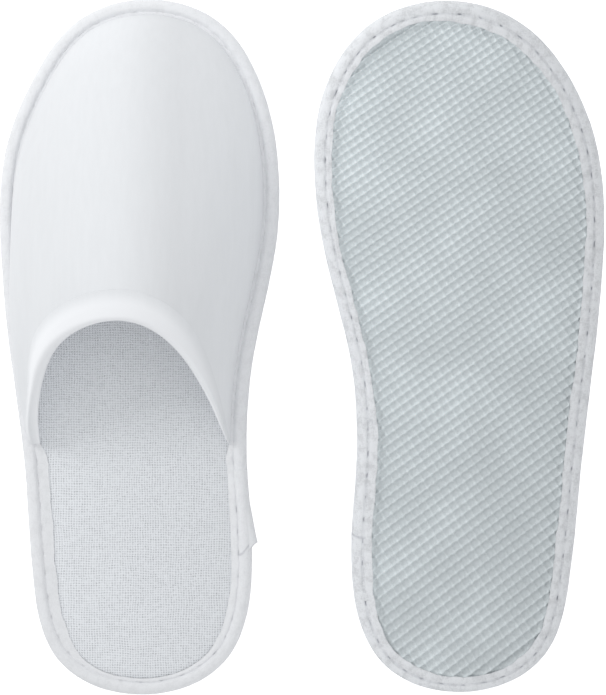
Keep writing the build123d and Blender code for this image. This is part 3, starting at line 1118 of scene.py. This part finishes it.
# ---- stitches ----
def stitch_row(slipper, name, inset, height, dip, row):
    """A seam's stitches: short rounded threads that dip into the tape at both ends."""
    count = stitch_count(slipper)
    loop = resample(slipper.outline, count)
    along, inward = loop_directions(loop)
    shift, slant, size, _ = stitch_habits(slipper, row)
    half = THREAD_HALF_LENGTH * (1 + 0.3 * size)
    t = np.linspace(-1, 1, 9)[:, None]
    threads = []
    for n in range(count):
        run = t * half[n] + STITCH_SHIFT * shift[n]
        plan = loop[n] + inward[n] * (inset + STITCH_SLANT * slant[n] * run) + along[n] * run
        threads.append((np.c_[plan, height + dip * t ** 2], THREAD_RADIUS))
    if slipper.name == "upturned" and name == "under_stitches":
        threads.append((loose_loop(slipper), LOOP_RADIUS))
    points, faces = [], []
    for path, radius in threads:
        ring_points, ring_faces = thread(path, radius)
        faces += [[k + sum(map(len, points)) for k in face] for face in ring_faces]
        points.append(ring_points)
    return build(slipper, name, np.concatenate(points), faces, LOOKS["thread"], "thread")


def thread(path, radius):
    """A round thread along a path, rounded off at both ends."""
    sides = 8
    angle = np.linspace(0, 2 * np.pi, sides, endpoint=False)
    run = np.linspace(-1, 1, len(path))
    thick = radius * np.sqrt(np.clip(1 - (np.abs(run) * 0.98) ** 8, 0.02, 1))
    ahead = unit(np.gradient(path, axis=0))
    side = unit(np.cross(ahead, (0, 0, 1)))
    up = np.cross(side, ahead)
    ring = np.cos(angle)[None, :, None] * side[:, None] + np.sin(angle)[None, :, None] * up[:, None]
    points = path[:, None] + ring * thick[:, None, None]
    faces = grid_faces(len(path), sides, close_cols=True).tolist()
    faces.append(list(range(sides)))
    faces.append([(len(path) - 1) * sides + i for i in range(sides)])
    return points.reshape(-1, 3), faces


def loose_loop(slipper):
    """The loop of thread that stands out of the seam on the upturned slipper."""
    nearest = np.abs(slipper.outline - (60, LOOP_V)).sum(1).argmin()
    centre = slipper.outline[nearest] + slipper.inward[nearest] * LOOP_INSET
    angle = np.radians(np.linspace(-60, 260, 40))
    across = np.stack([1.15 * np.cos(angle), 1.45 * np.sin(angle)], 1)
    depth = TAPE_BOTTOM - LOOP_LIFT - 0.3 * np.sin(angle)
    return np.c_[centre + across, depth]


# ---- assembly ----
def make_slipper(slipper):
    """Every piece of one slipper, each standing for its nodes of the design."""
    top_thread = TAPE_TOP - TOP_THREAD_DROP
    under_thread = TAPE_BOTTOM + UNDER_THREAD_RISE
    sheets = [
        outsole(slipper),
        midsole(slipper),
        insole(slipper),
        edge_tape(slipper),
        stitch_row(slipper, "top_stitches", TOP_SEAM, top_thread, -THREAD_DIP, TOP_SEAM_SEED),
        stitch_row(slipper, "under_stitches", UNDER_SEAM, under_thread, THREAD_DIP, UNDER_SEAM_SEED),
    ]
    for piece in sheets:
        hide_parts(piece.name + "_front", piece.name + "_rear")
        bend_with_sole(slipper, piece)
    for part, piece in vamp(slipper).items():
        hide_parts(f"{slipper.name}_{part}")
        press_with_vamp(slipper, piece)


# ---- stage ----
def make_floor():
    """A plain near-white floor that glows a little, so that only soft contact shadows show."""
    mesh = bpy.data.meshes.new("floor")
    corners = [(-1, -1), (1, -1), (1, 1), (-1, 1)]
    points = [(x * FLOOR_REACH, y * FLOOR_REACH, -FLOOR_DROP) for x, y in corners]
    mesh.from_pydata(points, [], [(0, 1, 2, 3)])
    floor = add_to_scene("floor", mesh)
    look = Look("floor_look")
    look.set(Base_Color=(0.9, 0.9, 0.9, 1), Roughness=1.0, Specular_IOR_Level=0.0)
    look.set(Emission_Color=(1, 1, 1, 1))
    rays = look.add("ShaderNodeLightPath")
    seen = look.math("MULTIPLY_ADD", (rays, "Is Camera Ray"), FLOOR_GLOW_SEEN)
    seen[0].inputs[2].default_value = FLOOR_GLOW
    look.link(*seen, look.shader, "Emission Strength")
    mesh.materials.append(look.material)


def make_lights():
    """An even, slightly blue sky, and one soft key light from the upper left."""
    world = bpy.data.worlds.new("studio")
    world.use_nodes = True
    sky = world.node_tree.nodes["Background"]
    sky.inputs["Color"].default_value = SKY_COLOUR
    sky.inputs["Strength"].default_value = SKY_STRENGTH
    bpy.context.scene.world = world
    data = bpy.data.lights.new("key", "AREA")
    data.shape = "DISK"
    data.size = KEY_SIZE
    data.energy = KEY_ENERGY
    key = add_to_scene("key", data)
    key.location = MIDDLE + KEY_OFFSET
    key.rotation_euler = (-KEY_OFFSET).to_track_quat("-Z", "Y").to_euler()


def make_camera():
    """Straight down, framed on the middle between the slippers."""
    data = bpy.data.cameras.new("camera")
    data.lens = CAMERA_LENS
    data.sensor_width = CAMERA_SENSOR
    data.clip_end = 20
    camera = add_to_scene("camera", data)
    camera.location = (MIDDLE.x, MIDDLE.y, CAMERA_HEIGHT)
    bpy.context.scene.camera = camera


for slipper_name in SEEDS:
    make_slipper(Slipper(slipper_name))
make_floor()
make_lights()
make_camera()
bpy.context.scene.view_settings.view_transform = "Standard"
